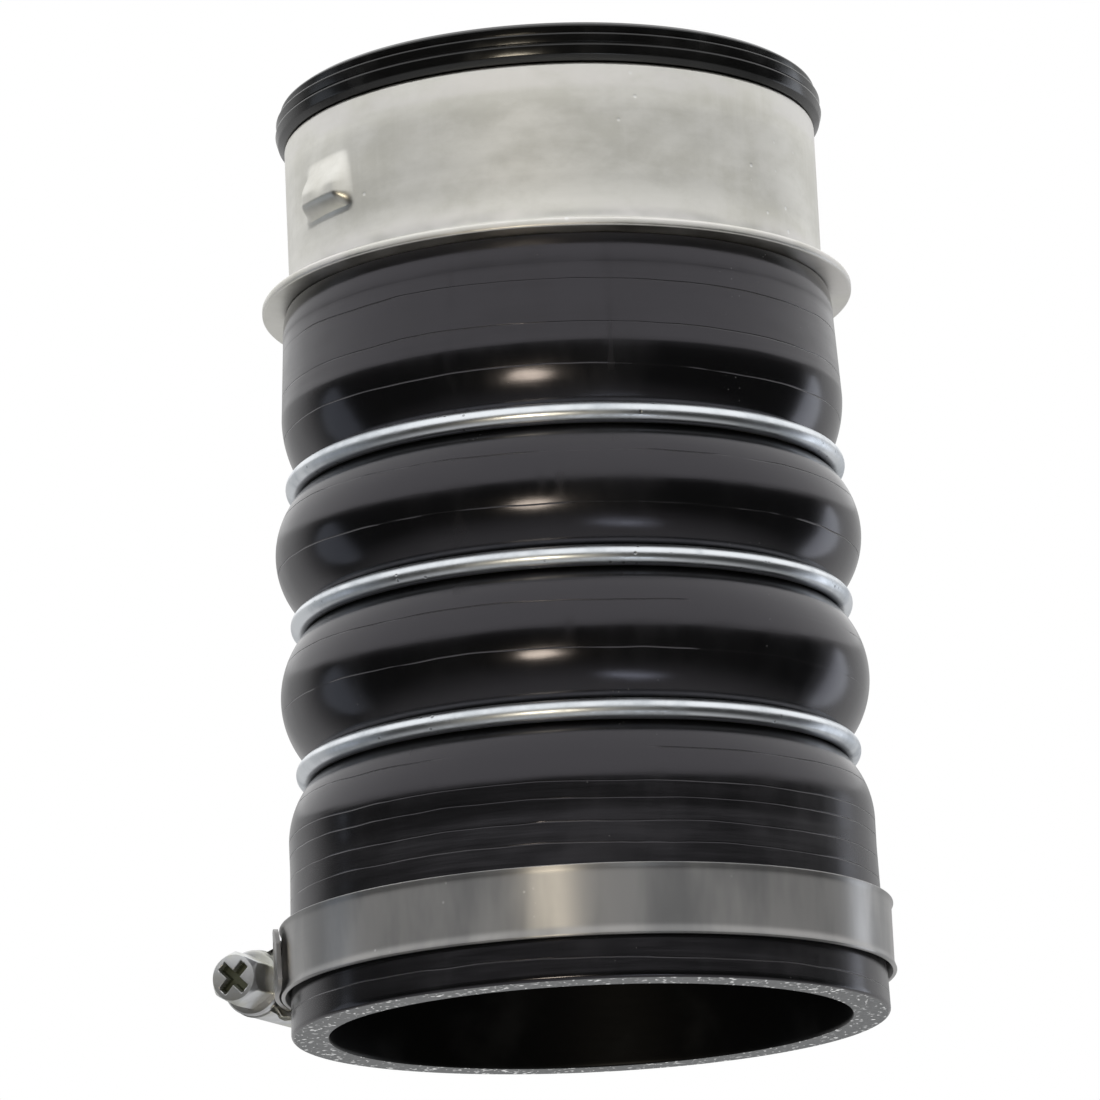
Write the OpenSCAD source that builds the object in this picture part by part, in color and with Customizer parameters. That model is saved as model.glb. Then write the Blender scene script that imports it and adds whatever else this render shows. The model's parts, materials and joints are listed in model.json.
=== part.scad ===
// Flexible pipe coupling: a convoluted, fabric-reinforced hose with wire rings in its valleys.
// One end is a plain cuff with a worm-drive clamp, and the other a metal collar with a profile seal.
// Millimetres. The hose axis is +Z and the origin is the centre of the cut end.

/* [Hose] */
// Outside diameter at the cut end
hose_od = 86; // [85:0.1:87]
// Bore at the cut end
hose_bore = 75; // [73:0.1:76]
// Largest diameter of the two bulges
bulge_od = 85.4; // [84.8:0.1:87]
// Largest diameter of the shoulder between the upper ring and the collar
shoulder_od = 82.2; // [81.6:0.1:84]
// Height of the rigid part of the cuff, which the clamp grips
cuff_h = 24; // [22:0.1:25]

/* [Wire rings] */
// Thickness of the ring wire
wire_d = 3; // [2.4:0.1:3.2]
// Diameter of each ring, measured along the middle of its wire
ring_d = 78.8; // [78:0.1:79.6]
// Height of the lower ring
lower_ring_z = 38.4; // [38:0.1:39]
// Height of the middle ring
middle_ring_z = 60.3; // [59.6:0.1:61]
// Height of the upper ring
upper_ring_z = 80.9; // [80.4:0.1:81.4]

/* [Collar] */
// Outside diameter of the collar
collar_od = 78.4; // [78:0.1:79]
// Thickness of the collar's metal
collar_t = 1.35; // [1.2:0.05:1.6]
// Diameter of the stop flange
flange_od = 86.7; // [85:0.1:90]
// Height of the flange's underside
flange_z = 107.1; // [106:0.1:108]
// Height of the shoulder that carries the seal
seal_z = 132.6; // [131:0.1:134]
// Angle from the viewer's side to the first locking lug
lug_angle = 56; // [30:1:80]

/* [Seal] */
// Diameter of the seal's widest ridge
seal_od = 81; // [80.6:0.1:82]

/* [Clamp] */
// Width of the band
band_w = 10; // [9.6:0.1:10.4]
// Height of the band's middle
band_z = 10.9; // [9:0.1:12]
// Thickness of the band
band_t = 0.65; // [0.5:0.05:0.7]
// Width of the screw's hexagon across its flats
hex_w = 7; // [6:0.1:7.5]
// Angle from the viewer's side to the middle of the screw housing
screw_angle = 115; // [100:1:150]

/* [Hidden] */
$fn = 96;
layers = ["liner", "plies", "cover"];
sections = ["cuff", "neck", "lower_bulge", "upper_bulge", "shoulder"];

// Hose wall. Level 0 is the bore and level 1 is the outside; the layers lie between these levels.
levels = [0, 0.22, 0.82, 1];
layer_colours = ["#26262a", "#6d6e72", "#161618"];
section_gap = 0.2;
core_r = 24;
overcut = 1;
lap = 0.1;
rim_r = hose_od / 2;
bore_r = hose_bore / 2;
cuff_narrowing = 0.7;
cuff_r = rim_r - cuff_narrowing;
bulge_r = bulge_od / 2;
shoulder_r = shoulder_od / 2;
bulge_wall = 5.5;
valley_wall = 3.4;
fall_h = 10.3;

// Wire rings. The valley is just deep enough for the wire to clear both bulges.
wire_r = wire_d / 2;
ring_r = ring_d / 2;
wire_clearance = 0.3;
valley_half = (middle_ring_z - lower_ring_z) / 2;
valley_r = valley_radius(bulge_r, ring_r, wire_r + wire_clearance, valley_half);

// Collar, sleeve and the hose tail that is crimped between them
collar_r = collar_od / 2;
collar_bore_r = collar_r - collar_t;
flange_r = flange_od / 2;
flange_fillet = 1.6;
hose_top_z = flange_z - 2.6;
hose_top_r = shoulder_r - 1.3;
tail_wall = 3.7;
tail_r = collar_bore_r - 0.05;
tail_bore_r = tail_r - tail_wall;
tail_end_z = seal_z - 1.8;
spigot_r = collar_r - 2.1;
spigot_h = 4.4;
sleeve_t = 1.2;
sleeve_z = 98;
lug_sweep = 19;
lug_wall_sweep = 2;
lug_z = flange_z + 10.2;
lug_h = 7.6;
lug_rise = 1.9;
lug_flat_h = 2;
lug_count = 2;

// Clamp. Local axes at the housing: X is radial, Y points to the screw's head and Z is up.
band_bore_r = rim_r + 0.25;
band_r = band_bore_r + band_t;
band_lip_low = 1.2;
band_lip_high = 0.6;
band_lip_rise = 0.35;
saddle_t = 0.45;
tail_gap = 0.15;
strap_r = band_r + saddle_t + tail_gap;
strap_w = band_w - 0.6;
strap_front_angle = 79;
strap_back_angle = screw_angle;
ramp_start_angle = screw_angle + 4.5;
ramp_end_angle = screw_angle + 35;
ramp_lap = 1.5;
fixed_end_angle = screw_angle + 13;
housing_h = 17;
housing_wall = 0.6;
screw_thread_r = 4.2;
screw_core_r = 3.1;
screw_pitch = 2.5;
screw_run = 0.08;
screw_x = strap_r + band_t + screw_thread_r + 0.1;
housing_bore_r = screw_thread_r + screw_run;
housing_r = housing_bore_r + housing_wall;
skirt_half = band_w / 2 + 0.8;
washer_r = 4.8;
washer_h = 1.3;
head_h = 5.6;
head_z = housing_h / 2 + 0.2;

// Radius of a layer boundary between the hose's outside and its bore.
function wall_r(outside, bore, level) = bore + (outside - bore) * level;

// Radius of the arc that falls by drop over the distance run, starting parallel to the axis.
function fall_radius(drop, run) = (run * run + drop * drop) / (2 * drop);

// Where two bulges meet when each clears a wire of radius reach that lies between them.
function valley_radius(top, wire, reach, half) =
    let (drop = top - wire)
    let (arc = (half * half + drop * drop - reach * reach) / (2 * (drop + reach)))
    top - arc + sqrt(arc * arc - half * half);

// Turns an angle from the viewer's side, measured clockwise from above, into an angle from +X.
function from_x(view_angle) = 270 - view_angle;

// Outline between heights low and high whose edge is an arc, parallel to the axis at height middle.
module arc_outline(top, end, middle, run, low, high) {
    arc = fall_radius(top - end, run);
    intersection() {
        translate([core_r, low]) square([top - core_r + overcut, high - low]);
        translate([top - arc, middle]) circle(arc);
    }
}

// Everything inside one layer boundary of a hose section; grow lengthens it for a clean cut.
module hose_fill(section, level, grow) {
    valley = wall_r(valley_r, valley_r - valley_wall, level);
    cuff = wall_r(cuff_r, bore_r, level);
    bulge = wall_r(bulge_r, bulge_r - bulge_wall, level);
    shoulder = wall_r(shoulder_r, shoulder_r - bulge_wall, level);
    top = wall_r(hose_top_r, tail_bore_r + 0.2, level);
    tail = wall_r(tail_r, tail_bore_r, level);
    inside = core_r - grow;
    half_gap = section_gap / 2;
    if (section == "cuff")
        polygon([
            [inside, -grow], [wall_r(rim_r, bore_r, level), -grow], [wall_r(rim_r, bore_r, level), 0],
            [cuff, cuff_h], [cuff, cuff_h + grow], [inside, cuff_h + grow]
        ]);
    if (section == "neck") {
        bend_z = lower_ring_z - fall_h;
        translate([inside, cuff_h + section_gap - grow])
            square([cuff - inside, bend_z - cuff_h - section_gap + grow]);
        translate([inside, bend_z]) square([valley - inside, fall_h - half_gap + grow]);
        arc_outline(cuff, valley, bend_z, fall_h, bend_z, lower_ring_z - half_gap + grow);
    }
    if (section == "lower_bulge")
        bulge_fill(bulge, valley, lower_ring_z, middle_ring_z, inside, grow);
    if (section == "upper_bulge")
        bulge_fill(bulge, valley, middle_ring_z, upper_ring_z, inside, grow);
    if (section == "shoulder") {
        bend_z = upper_ring_z + fall_h;
        start_z = upper_ring_z + half_gap - grow;
        arc_outline(shoulder, valley, bend_z, fall_h, start_z, bend_z);
        translate([inside, start_z]) square([valley - inside, bend_z - start_z]);
        polygon([[inside, bend_z], [shoulder, bend_z], [top, hose_top_z], [inside, hose_top_z]]);
        translate([inside, hose_top_z]) square([tail - inside, tail_end_z - hose_top_z + grow]);
        intersection() {
            translate([tail, hose_top_z]) circle(top - tail);
            translate([inside, hose_top_z]) square([top - inside, top - tail]);
        }
    }
}

module bulge_fill(bulge, valley, low, high, inside, grow) {
    half_gap = section_gap / 2;
    start_z = low + half_gap - grow;
    end_z = high - half_gap + grow;
    arc_outline(bulge, valley, (low + high) / 2, (high - low) / 2, start_z, end_z);
    translate([inside, start_z]) square([valley - inside - overcut, end_z - start_z]);
}

module hose_piece(section, layer) {
    color(layer_colours[layer])
        rotate_extrude()
            difference() {
                hose_fill(section, levels[layer + 1], 0);
                hose_fill(section, levels[layer], overcut);
            }
}

module wire_ring(height) {
    color("#c3ccd2")
        translate([0, 0, height])
            rotate_extrude()
                translate([ring_r, 0]) circle(wire_r);
}

// Formed metal collar: a tube with a stop flange below and a stepped-in spigot for the seal above.
module collar_outline() {
    translate([collar_bore_r, flange_z]) square([collar_t, seal_z - flange_z]);
    translate([collar_bore_r, flange_z]) square([flange_r - collar_bore_r, collar_t]);
    translate([spigot_r - collar_t, seal_z - collar_t]) square([collar_r - spigot_r + collar_t, collar_t]);
    translate([spigot_r - collar_t, seal_z - collar_t]) square([collar_t, collar_t + spigot_h]);
    difference() {
        translate([collar_r - lap, flange_z + collar_t - lap]) square(flange_fillet + lap);
        translate([collar_r + flange_fillet, flange_z + collar_t + flange_fillet]) circle(flange_fillet);
    }
}

// Pressed-out locking lug: a ramp that rises towards the flange and ends in a square lower edge.
module lug_solid(sweep) {
    root = 0.5;
    nose = 0.4;
    rotate([0, 0, -sweep / 2])
        rotate_extrude(angle = sweep)
            polygon([
                [collar_r - root, lug_z], [collar_r + lug_rise - nose, lug_z],
                [collar_r + lug_rise, lug_z + nose], [collar_r + lug_rise, lug_z + lug_flat_h],
                [collar_r, lug_z + lug_h], [collar_r - root, lug_z + lug_h]
            ]);
}

module lug_hollow(sweep) {
    hollow_r = collar_r + lug_rise - collar_t;
    rotate([0, 0, -sweep / 2])
        rotate_extrude(angle = sweep)
            polygon([
                [collar_bore_r - overcut, lug_z], [collar_r, lug_z], [collar_r, lug_z - overcut],
                [hollow_r, lug_z - overcut], [hollow_r, lug_z + lug_flat_h],
                [collar_bore_r, lug_z + lug_h - collar_t], [collar_bore_r - overcut, lug_z + lug_h - collar_t]
            ]);
}

module collar() {
    color("#b9b6ae")
        difference() {
            union() {
                rotate_extrude() collar_outline();
                for (i = [0 : lug_count - 1])
                    rotate([0, 0, from_x(lug_angle) + i * 360 / lug_count]) lug_solid(lug_sweep);
            }
            for (i = [0 : lug_count - 1])
                rotate([0, 0, from_x(lug_angle) + i * 360 / lug_count])
                    lug_hollow(lug_sweep - 2 * lug_wall_sweep);
        }
}

// Expanded sleeve inside the hose tail, flared out at the top and folded over the collar's edge.
module inner_sleeve() {
    sleeve_r = tail_bore_r - 0.05;
    flare_r = spigot_r - collar_t - 0.1;
    flare_low_z = tail_end_z + 0.2;
    flare_high_z = seal_z + 0.4;
    fold_z = seal_z + spigot_h + 0.05;
    fold_t = 0.6;
    color("#a9abad")
        rotate_extrude()
            polygon([
                [sleeve_r - sleeve_t, sleeve_z], [sleeve_r, sleeve_z], [sleeve_r, flare_low_z],
                [flare_r, flare_high_z], [flare_r, fold_z], [spigot_r, fold_z],
                [spigot_r, fold_z + fold_t], [flare_r - sleeve_t, fold_z + fold_t],
                [flare_r - sleeve_t, flare_high_z + 0.4], [sleeve_r - sleeve_t, flare_low_z + 0.4]
            ]);
}

// Profile seal with three ridges; the lowest is the widest and carries a short cylindrical land.
module profile_seal() {
    r = seal_od / 2;
    z = seal_z + 0.05;
    seat_r = spigot_r + 0.05;
    lip_z = z + spigot_h + 0.65;
    color("#0f0f11")
        rotate_extrude()
            polygon([
                [seat_r, z], [collar_r + 0.1, z], [r - 0.3, z + 0.7], [r, z + 1.35], [r, z + 2.15],
                [r - 0.45, z + 2.6], [r - 0.2, z + 3.05], [r - 0.2, z + 3.5], [r - 1, z + 4.05],
                [r - 1, z + 4.5], [r - 1.4, z + 5.3], [r - 2.2, z + 5.9], [r - 3.9, z + 6],
                [r - 4.3, z + 5.7], [r - 4.3, lip_z], [seat_r, lip_z]
            ]);
}

// Thin band outline with both edges turned outwards.
module band_outline() {
    low = band_z - band_w / 2;
    high = band_z + band_w / 2;
    polygon([
        [band_bore_r + band_lip_rise, low], [band_bore_r, low + band_lip_low],
        [band_bore_r, high - band_lip_high], [band_bore_r + band_lip_rise, high],
        [band_r + band_lip_rise, high], [band_r, high - band_lip_high],
        [band_r, low + band_lip_low], [band_r + band_lip_rise, low]
    ]);
}

// Upright wedge from one view angle to another, tall enough for the band.
module view_wedge(start_angle, end_angle, reach) {
    rotate([0, 0, from_x(end_angle)])
        rotate_extrude(angle = end_angle - start_angle)
            square([reach, band_z + band_w]);
}

// Part of the band that climbs over its own fixed end, as an arc about a shifted centre.
module band_ramp() {
    climb = strap_r - band_bore_r;
    shift = climb / (1 - cos(ramp_end_angle - screw_angle));
    arc_r = strap_r - shift;
    intersection() {
        view_wedge(ramp_start_angle, ramp_end_angle - ramp_lap, 2 * rim_r);
        rotate([0, 0, from_x(screw_angle)])
            translate([shift, 0, band_z - strap_w / 2])
                difference() {
                    cylinder(h = strap_w, r = arc_r + band_t);
                    translate([0, 0, -overcut]) cylinder(h = strap_w + 2 * overcut, r = arc_r);
                }
    }
}

module clamp_band() {
    color("#8c8e90") {
        rotate([0, 0, from_x(fixed_end_angle)])
            rotate_extrude(angle = 360 - (ramp_end_angle - 2 * ramp_lap - fixed_end_angle))
                band_outline();
        band_ramp();
    }
}

// Free end of the band, which the worm screw pulls through the housing.
module clamp_tail() {
    slot_w = 1.1;
    slot_l = 5.6;
    slot_tilt = 9;
    slot_step = screw_pitch / strap_r * 180 / PI;
    first_slot = strap_front_angle + 4;
    slot_count = floor((strap_back_angle - 2 - first_slot) / slot_step);
    color("#8c8e90")
        difference() {
            rotate([0, 0, from_x(strap_back_angle)])
                rotate_extrude(angle = strap_back_angle - strap_front_angle)
                    translate([strap_r, band_z - strap_w / 2]) square([band_t, strap_w]);
            for (i = [0 : slot_count])
                rotate([0, 0, from_x(first_slot + i * slot_step)])
                    translate([strap_r, 0, band_z])
                        rotate([slot_tilt, 0, 0]) cube([4 * band_t, slot_w, slot_l], center = true);
        }
}

// Bridge plate that lies between the band's lips and carries the moving tail.
module clamp_saddle() {
    saddle_sweep = 21;
    side_gap = 0.15;
    saddle_low = band_z - band_w / 2 + band_lip_low + side_gap;
    saddle_w = band_w - band_lip_low - band_lip_high - 2 * side_gap;
    color("#9fa3a4")
        rotate([0, 0, from_x(screw_angle) - saddle_sweep / 2])
            rotate_extrude(angle = saddle_sweep)
                translate([band_r + 0.02, saddle_low]) square([saddle_t - 0.04, saddle_w]);
}

module at_screw() {
    rotate([0, 0, from_x(screw_angle)])
        translate([screw_x, 0, band_z])
            rotate([-90, 0, 0])
                children();
}

// Housing outline across the screw: a round tunnel on a wider skirt. X is radial from the screw.
module housing_outline() {
    neck_x = strap_r + band_t + 0.35 - screw_x;
    foot_x = band_bore_r - 2 * overcut - screw_x;
    shoulder_x = neck_x + 0.9;
    shoulder_half = skirt_half - 1.4;
    circle(housing_r);
    polygon([
        [foot_x, -skirt_half], [neck_x, -skirt_half], [shoulder_x, -shoulder_half],
        [shoulder_x, shoulder_half], [neck_x, skirt_half], [foot_x, skirt_half]
    ]);
}

module housing_hollow() {
    neck_x = strap_r + band_t + 0.25 - screw_x;
    foot_x = band_bore_r - 3 * overcut - screw_x;
    slot_half = skirt_half - housing_wall + 0.15;
    circle(housing_bore_r);
    translate([foot_x, -slot_half]) square([neck_x - foot_x, 2 * slot_half]);
    translate([foot_x, -screw_core_r]) square([-foot_x, 2 * screw_core_r]);
}

module clamp_housing() {
    color("#b7bdb9")
        difference() {
            at_screw()
                translate([0, 0, -housing_h / 2])
                    linear_extrude(housing_h)
                        difference() {
                            housing_outline();
                            housing_hollow();
                        }
            cylinder(h = 2 * (band_z + band_w), r = band_bore_r, center = true);
        }
}

// Hexagon head whose corners are cut back by a cone, with a cross recess in its face.
module screw_head() {
    sink = 0.1;
    hex_r = hex_w / 2 / cos(30);
    face_r = hex_w / 2 - 0.1;
    cone_spread = 3.7;
    recess_w = 1.2;
    recess_l = 5.4;
    recess_h = 1.8;
    difference() {
        translate([0, 0, -sink])
            intersection() {
                cylinder(h = head_h + sink, r = hex_r, $fn = 6);
                cylinder(h = head_h + sink, r1 = face_r + cone_spread, r2 = face_r);
            }
        for (turn = [45, 135])
            rotate([0, 0, turn])
                translate([-recess_l / 2, -recess_w / 2, head_h - recess_h])
                    cube([recess_l, recess_w, recess_h + overcut]);
    }
}

// Worm screw: threaded core, washer face and head.
module worm_screw() {
    ridge_w = 1.1;
    ridge_count = 5;
    color("#b9c2bf")
        at_screw() {
            translate([0, 0, -housing_h / 2 + 0.5]) cylinder(h = housing_h, r = screw_core_r);
            for (i = [0 : ridge_count])
                translate([0, 0, (i - ridge_count / 2) * screw_pitch - ridge_w / 2])
                    cylinder(h = ridge_w, r = screw_thread_r);
            translate([0, 0, head_z]) cylinder(h = washer_h, r = washer_r);
            translate([0, 0, head_z + washer_h]) screw_head();
        }
}

for (section = sections)
    for (layer = [0 : len(layers) - 1])
        hose_piece(section, layer);
wire_ring(lower_ring_z);  // lower_ring
wire_ring(middle_ring_z);  // middle_ring
wire_ring(upper_ring_z);  // upper_ring
collar();
inner_sleeve();
profile_seal();
clamp_band();
clamp_tail();
clamp_saddle();
clamp_housing();
worm_screw();
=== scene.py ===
"""Looks of the flexible pipe coupling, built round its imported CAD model. Metres, hose axis +Z."""

import json
import math

import bmesh
import bpy
import numpy as np
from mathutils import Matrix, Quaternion, Vector


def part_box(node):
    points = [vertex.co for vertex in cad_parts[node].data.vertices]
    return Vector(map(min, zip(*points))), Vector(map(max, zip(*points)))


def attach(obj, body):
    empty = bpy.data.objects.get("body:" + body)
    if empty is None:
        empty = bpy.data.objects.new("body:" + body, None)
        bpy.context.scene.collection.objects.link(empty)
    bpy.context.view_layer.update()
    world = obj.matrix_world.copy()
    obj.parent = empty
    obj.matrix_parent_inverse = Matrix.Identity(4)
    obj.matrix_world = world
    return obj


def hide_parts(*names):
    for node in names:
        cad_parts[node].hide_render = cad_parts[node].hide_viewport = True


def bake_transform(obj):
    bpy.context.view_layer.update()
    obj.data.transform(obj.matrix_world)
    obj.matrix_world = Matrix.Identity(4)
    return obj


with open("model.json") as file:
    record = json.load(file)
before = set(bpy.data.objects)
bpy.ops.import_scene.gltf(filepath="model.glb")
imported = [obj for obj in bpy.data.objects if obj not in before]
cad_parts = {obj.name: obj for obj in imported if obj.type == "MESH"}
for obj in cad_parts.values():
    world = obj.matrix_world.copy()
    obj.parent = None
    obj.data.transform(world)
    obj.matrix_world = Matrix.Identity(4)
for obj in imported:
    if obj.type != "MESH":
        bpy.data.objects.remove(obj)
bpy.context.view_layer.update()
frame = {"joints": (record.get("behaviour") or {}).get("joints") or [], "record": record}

MM = 0.001

# ---------------------------------------------------------------- camera

CAMERA_AIM = Vector((-2.7, 0, 70.6)) * MM
CAMERA_DISTANCE = 0.927
CAMERA_ELEVATION = -13.3
CAMERA_ROLL = -2.7
CAMERA_LENS_MM = 208


def direction(azimuth, elevation):
    """Unit vector at an azimuth, clockwise from the viewer's side, and an elevation, both in degrees."""
    a, e = math.radians(azimuth), math.radians(elevation)
    return Vector((-math.sin(a) * math.cos(e), -math.cos(a) * math.cos(e), math.sin(e)))


def make_camera():
    camera = bpy.data.objects.new("camera", bpy.data.cameras.new("camera"))
    bpy.context.scene.collection.objects.link(camera)
    camera.data.lens = CAMERA_LENS_MM
    back = direction(0, CAMERA_ELEVATION)
    level = (-back).to_track_quat("-Z", "Y")
    camera.location = CAMERA_AIM + back * CAMERA_DISTANCE
    camera.rotation_mode = "QUATERNION"
    camera.rotation_quaternion = level @ Quaternion((0, 0, 1), math.radians(CAMERA_ROLL))
    bpy.context.scene.camera = camera


make_camera()
bpy.context.scene.view_settings.view_transform = "Standard"

# ---------------------------------------------------------------- sizes read from the CAD model, in mm


def span(node):
    """Half width, lowest height and highest height of a CAD node."""
    low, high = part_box(node)
    return (high.x - low.x) / 2 / MM, low.z / MM, high.z / MM


def middle(node):
    """Height of the middle of a CAD node."""
    return sum(span(node)[1:]) / 2


RIM_R, _, CUFF_TOP = span("cuff_cover")
BULGE_R = span("lower_bulge_cover")[0]
SHOULDER_R = span("shoulder_cover")[0]
FLANGE_R, FLANGE_Z, SPIGOT_TOP = span("collar")
SEAL_R, SEAL_Z, SEAL_TOP = span("profile_seal")
SLEEVE_LOW, SLEEVE_TOP = span("inner_sleeve")[1:]
BAND_LOW, BAND_HIGH = span("clamp_band")[1:]
RING_Z = [middle("lower_ring"), middle("middle_ring"), middle("upper_ring")]
WIRE_R = (span("lower_ring")[2] - span("lower_ring")[1]) / 2
RING_R = span("lower_ring")[0] - WIRE_R
MOUNTS = {mount["name"]: mount for mount in frame["record"]["mounts"]}
BORE_R = MOUNTS["hose_end"]["dims"]["r_mm"]
SCREW = next(joint for joint in frame["joints"] if joint["name"] == "screw_turn")

# Sizes that no box of a CAD node gives, in mm
FIT = 0.05
CUFF_R = RIM_R - 0.7
COLLAR_R = 39.2
COLLAR_T = 1.35
COLLAR_BORE_R = COLLAR_R - COLLAR_T
SPIGOT_R = COLLAR_R - 2.1
FALL_H = 10.3
BULGE_WALL = 5.5
VALLEY_WALL = 3.4
TAIL_WALL = 3.7
BAND_BORE_R = RIM_R + 0.25
BAND_T = 0.65
STRAP_R = BAND_BORE_R + BAND_T + 0.6

# Share of the hose's wall, from the bore outwards, at which each layer starts and ends
LEVELS = {"liner": (0, 0.22), "plies": (0.22, 0.82), "cover": (0.82, 1)}
SEGMENTS = 384

# ---------------------------------------------------------------- mesh building


def add_object(name, points, faces, materials, sharp=40):
    """Smooth-shaded mesh object from points in mm, which also keeps its rest position for the materials."""
    mesh = bpy.data.meshes.new(name)
    mesh.from_pydata([tuple(p) for p in np.asarray(points) * MM], [], faces)
    rest = mesh.attributes.new("rest", "FLOAT_VECTOR", "POINT")
    rest.data.foreach_set("vector", (np.asarray(points, np.float32) * MM).ravel())
    for material in materials:
        mesh.materials.append(material)
    shell = bmesh.new()
    shell.from_mesh(mesh)
    bmesh.ops.recalc_face_normals(shell, faces=shell.faces)
    shell.to_mesh(mesh)
    shell.free()
    mesh.shade_smooth()
    mesh.set_sharp_from_angle(angle=math.radians(sharp))
    piece = bpy.data.objects.new(name, mesh)
    bpy.context.scene.collection.objects.link(piece)
    return piece


def skin(rings, loop):
    """Points and faces through a row of closed rings of points; the row closes on itself or gets end caps."""
    rings = np.asarray(rings)
    count, size = rings.shape[:2]
    faces = []
    for i in range(count if loop else count - 1):
        a, b = i * size, (i + 1) % count * size
        faces += [(a + j, a + (j + 1) % size, b + (j + 1) % size, b + j) for j in range(size)]
    if not loop:
        faces.append(tuple(range(size)))
        faces.append(tuple(range((count - 1) * size, count * size)))
    return rings.reshape(-1, 3), faces


def turned(outline, segments=SEGMENTS):
    """Rings of points of a closed outline of (radius, height) turned about the axis."""
    outline = np.asarray(outline, float)
    angles = np.arange(segments) / segments * 2 * math.pi
    r, z = outline[:, 0], outline[:, 1]
    return [np.stack([r * math.cos(a), r * math.sin(a), z], axis=1) for a in angles]


def rounded(corners, steps=5):
    """Closed outline through (x, y, radius) corners, with each corner turned into an arc."""
    points = []
    for i, (x, y, radius) in enumerate(corners):
        here = np.array([x, y], float)
        to_last = np.array(corners[i - 1][:2], float) - here
        to_next = np.array(corners[(i + 1) % len(corners)][:2], float) - here
        shortest = min(np.linalg.norm(to_last), np.linalg.norm(to_next))
        to_last /= np.linalg.norm(to_last)
        to_next /= np.linalg.norm(to_next)
        half = math.acos(np.clip(to_last @ to_next, -1, 1)) / 2
        reach = min(radius / math.tan(half), 0.49 * shortest) if radius and half < 1.56 else 0
        if not reach:
            points.append(here)
            continue
        centre = here + (to_last + to_next) / np.linalg.norm(to_last + to_next) * reach / math.cos(half)
        first, last = here + to_last * reach - centre, here + to_next * reach - centre
        turn = math.pi - 2 * half
        for k in range(steps + 1):
            share = k / steps
            points.append(
                centre
                + (math.sin((1 - share) * turn) * first + math.sin(share * turn) * last) / math.sin(turn)
            )
    return points


def divided(outline, step):
    """The closed outline with points added so that none of its stretches is longer than step."""
    points = []
    for i, here in enumerate(outline):
        after = np.asarray(outline[(i + 1) % len(outline)])
        parts = max(1, math.ceil(np.linalg.norm(after - here) / step))
        points += [np.asarray(here) + (after - here) * k / parts for k in range(parts)]
    return points


# ---------------------------------------------------------------- material building


class Graph:
    """Short way to write a node material whose textures sit on the piece's rest position."""

    def __init__(self, name):
        self.material = bpy.data.materials.new(name)
        self.material.use_nodes = True
        self.tree = self.material.node_tree
        self.shader = self.tree.nodes["Principled BSDF"]
        attribute = self.add("ShaderNodeAttribute", attribute_name="rest")
        self.rest = attribute.outputs["Vector"]
        parts = self.add("ShaderNodeSeparateXYZ", inputs={"Vector": self.rest})
        self.x, self.y, self.z = parts.outputs

    def add(self, kind, inputs=None, **settings):
        made = self.tree.nodes.new(kind)
        for key, value in settings.items():
            setattr(made, key, value)
        for key, value in (inputs or {}).items():
            self.put(made.inputs[key], value)
        return made

    def put(self, socket, value):
        if isinstance(value, bpy.types.NodeSocket):
            self.tree.links.new(value, socket)
        else:
            socket.default_value = value

    def math(self, operation, a, b=0.0, c=0.0):
        made = self.add("ShaderNodeMath", operation=operation)
        for socket, value in zip(made.inputs, (a, b, c)):
            self.put(socket, value)
        return made.outputs[0]

    def noise(self, scale, detail=3.0, stretch=(1, 1, 1), roughness=0.55, shift=0.0):
        place = self.add(
            "ShaderNodeMapping",
            {"Vector": self.rest, "Scale": stretch, "Location": (shift, shift, shift)},
        )
        made = self.add(
            "ShaderNodeTexNoise",
            {"Vector": place.outputs[0], "Scale": scale, "Detail": detail, "Roughness": roughness},
        )
        return made.outputs["Fac"]

    def cells(self, scale):
        """Distance from the nearest of many scattered points."""
        return self.add("ShaderNodeTexVoronoi", {"Vector": self.rest, "Scale": scale}).outputs["Distance"]

    def steps(self, value, low, high, start=0.0, end=1.0):
        """Maps value from low..high to start..end, smoothly and without going past either."""
        made = self.add(
            "ShaderNodeMapRange",
            {"Value": value, "From Min": low, "From Max": high, "To Min": start, "To Max": end},
            interpolation_type="SMOOTHSTEP",
        )
        return made.outputs[0]

    def mix(self, share, a, b):
        made = self.add("ShaderNodeMix", data_type="RGBA")
        self.put(made.inputs["Factor"], share)
        self.put(made.inputs[6], a)
        self.put(made.inputs[7], b)
        return made.outputs[2]

    def bump(self, height, distance, strength=1.0, below=None):
        made = self.add("ShaderNodeBump", {"Height": height, "Distance": distance, "Strength": strength})
        if below is not None:
            self.put(made.inputs["Normal"], below)
        return made.outputs["Normal"]

    def finish(self, **values):
        """Sets the shader's sockets, named with _ for each space, and gives the material."""
        for key, value in values.items():
            self.put(self.shader.inputs[key.replace("_", " ")], value)
        return self.material


def grey(value, tint=0.0):
    """Colour of that brightness, bluish for a tint above zero and warm below."""
    return (value * (1 - tint), value, value * (1 + tint), 1)


def hairlines(graph, heights, width, tilt):
    """1 on thin lines round the hose at those heights in mm, broken up along their length."""
    total = None
    slope = graph.math("MULTIPLY", graph.x, tilt)
    wander = graph.math("MULTIPLY", graph.noise(60, 2), 0.9 * MM)
    place = graph.math("ADD", graph.math("ADD", graph.z, slope), wander)
    for height in heights:
        offset = graph.math("ABSOLUTE", graph.math("SUBTRACT", place, height * MM))
        line = graph.steps(offset, 0, width * MM, 1, 0)
        total = line if total is None else graph.math("MAXIMUM", total, line)
    broken = graph.steps(graph.noise(45, 3, shift=0.4), 0.42, 0.6, 0.15, 1)
    return graph.math("MULTIPLY", total, broken)


# Heights in mm of the faint lines that the curing tape leaves on the cover
WRAP_HEIGHTS = [3.4, 19.6, 22.6, 25.9, 28.3, 33.2, 47.1, 53.9, 67.9, 75.4, 88.1, 94.2, 100.6]


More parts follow.
